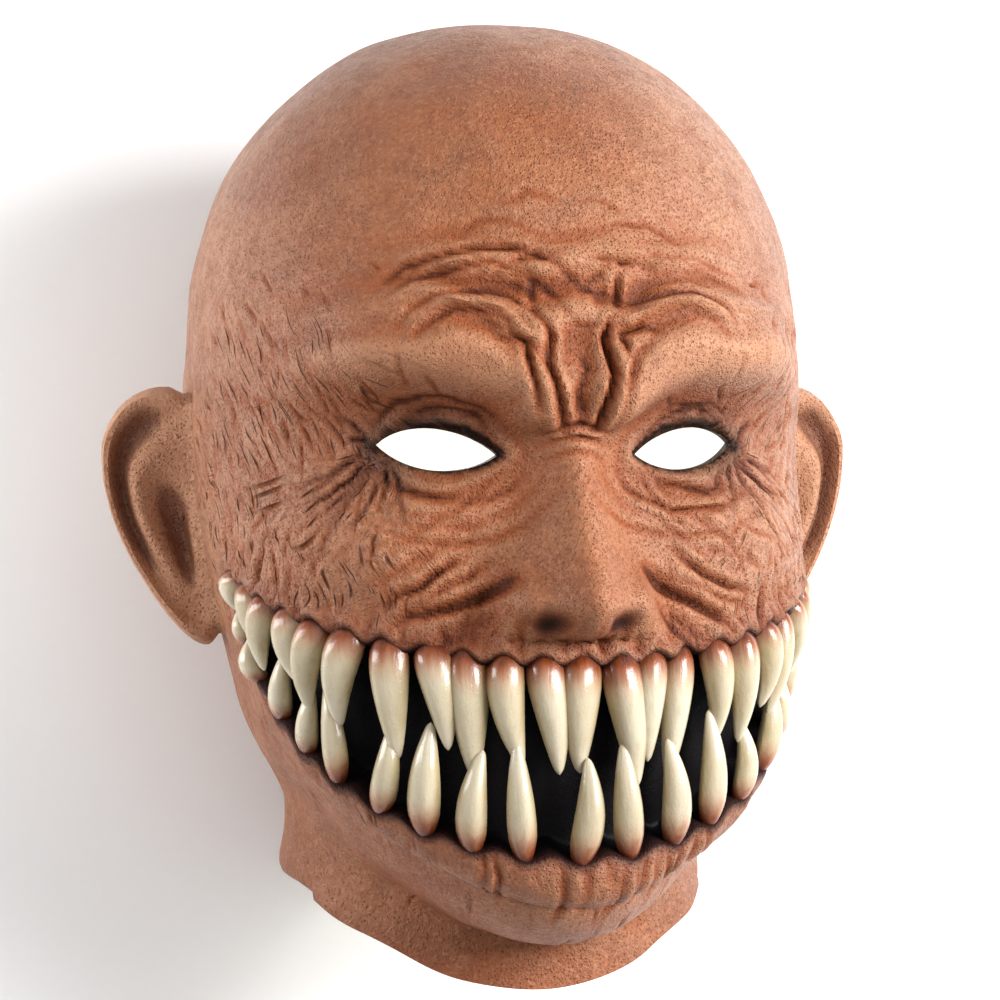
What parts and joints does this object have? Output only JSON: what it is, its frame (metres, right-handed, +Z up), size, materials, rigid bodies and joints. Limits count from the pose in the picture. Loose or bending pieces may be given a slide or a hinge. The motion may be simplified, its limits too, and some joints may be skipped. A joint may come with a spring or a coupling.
{
  "type": "full-head latex horror mask",
  "caption": "Hollow full-head latex horror mask with eye holes, ears, an ear-to-ear grin of fangs and an open neck, lying face up.",
  "frame": {"origin": "centre of the bounding box at floor level, under the mask as it lies on its back", "axes": "+Z up, out of the face; +Y from the neck towards the crown; +X to the wearer's left"},
  "size_m": [0.2552, 0.3198, 0.2246],
  "materials": {
    "latex_skin": "satin latex, tan with a red-brown wash in the creases"
  },
  "bodies": {
    "root": {"mask": "latex_skin"}
  },
  "joints": []
}
